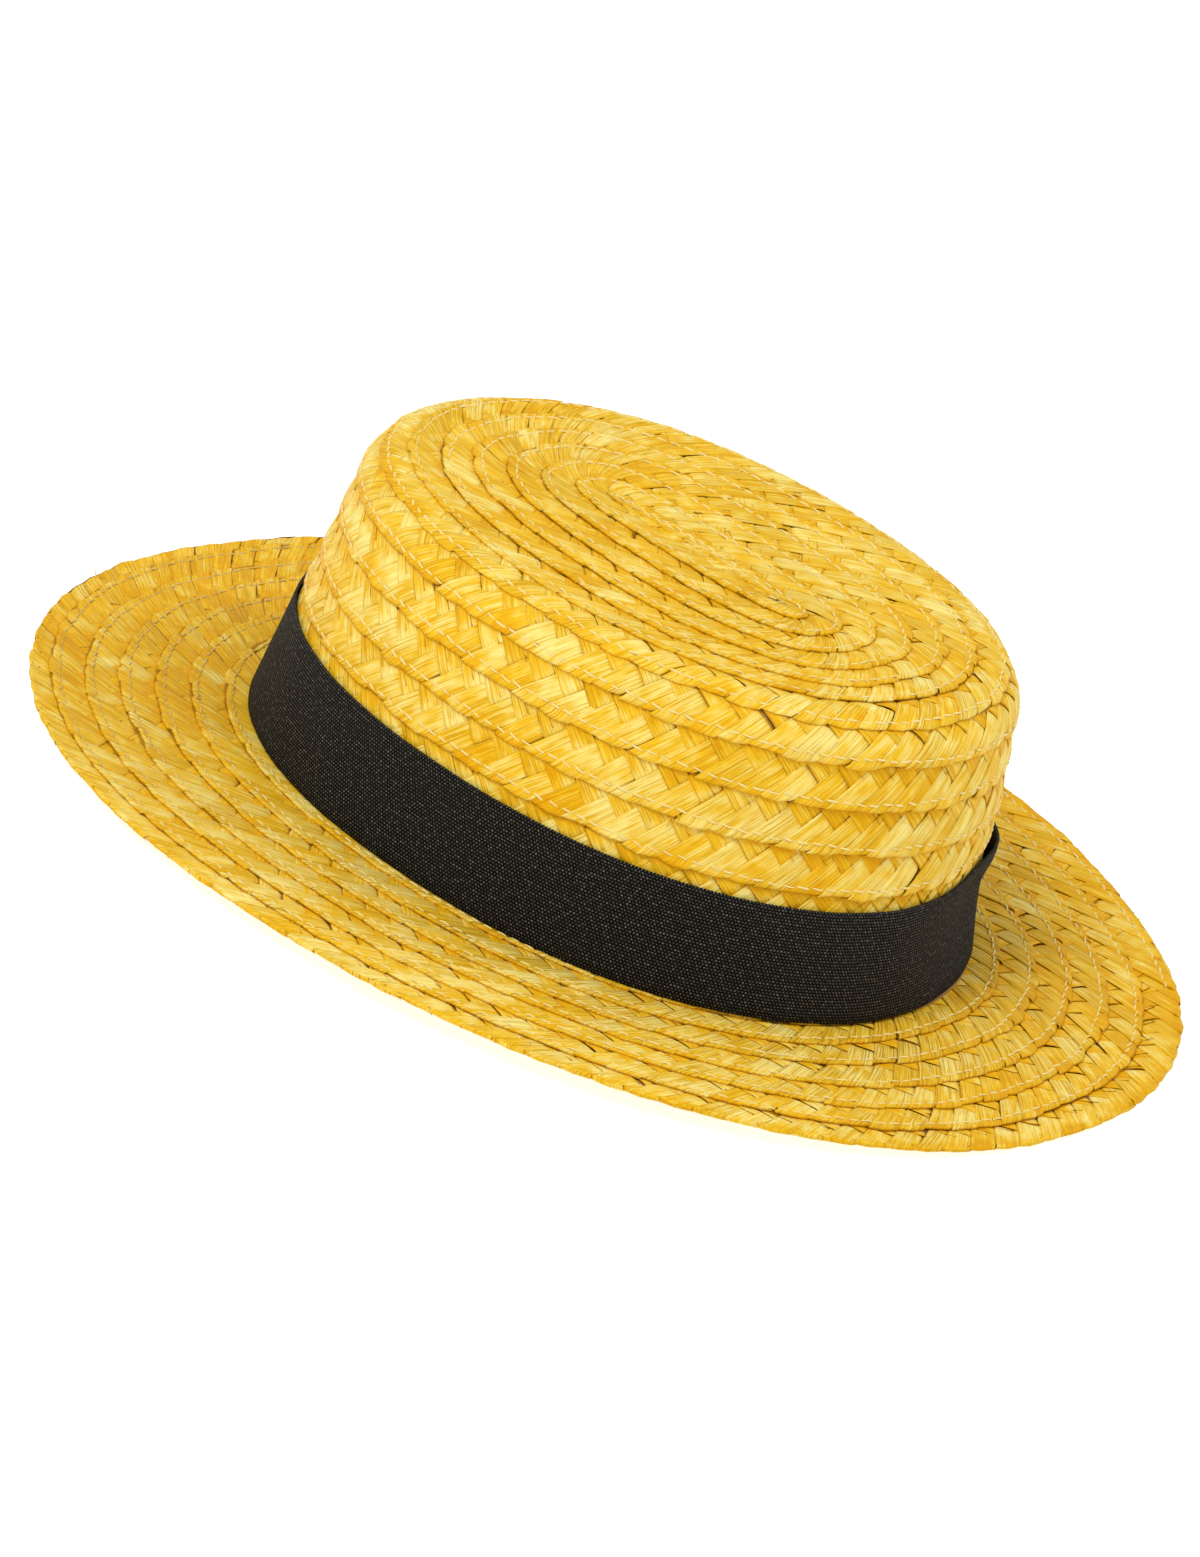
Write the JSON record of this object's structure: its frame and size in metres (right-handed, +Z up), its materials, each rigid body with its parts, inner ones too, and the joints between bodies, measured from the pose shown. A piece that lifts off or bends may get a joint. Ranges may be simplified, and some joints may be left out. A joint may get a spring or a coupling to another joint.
{
  "type": "straw boater hat",
  "caption": "Straw boater hat: oval flat-topped crown of lapped straw plait, gently waved flat brim, and a plain woven ribbon round the crown's foot.",
  "frame": {"origin": "on the floor under the middle of the hat, at the centre of its box's base", "axes": "+Z up out of the crown's flat tip, +X along the head's length, +Y across it"},
  "size_m": [0.319, 0.287, 0.0852],
  "materials": {
    "straw": "plaited natural straw, satin",
    "ribbon_cloth": "plain woven ribbon, matte"
  },
  "bodies": {
    "root": {"crown": "straw", "brim": "straw", "ribbon": "ribbon_cloth"}
  },
  "joints": []
}
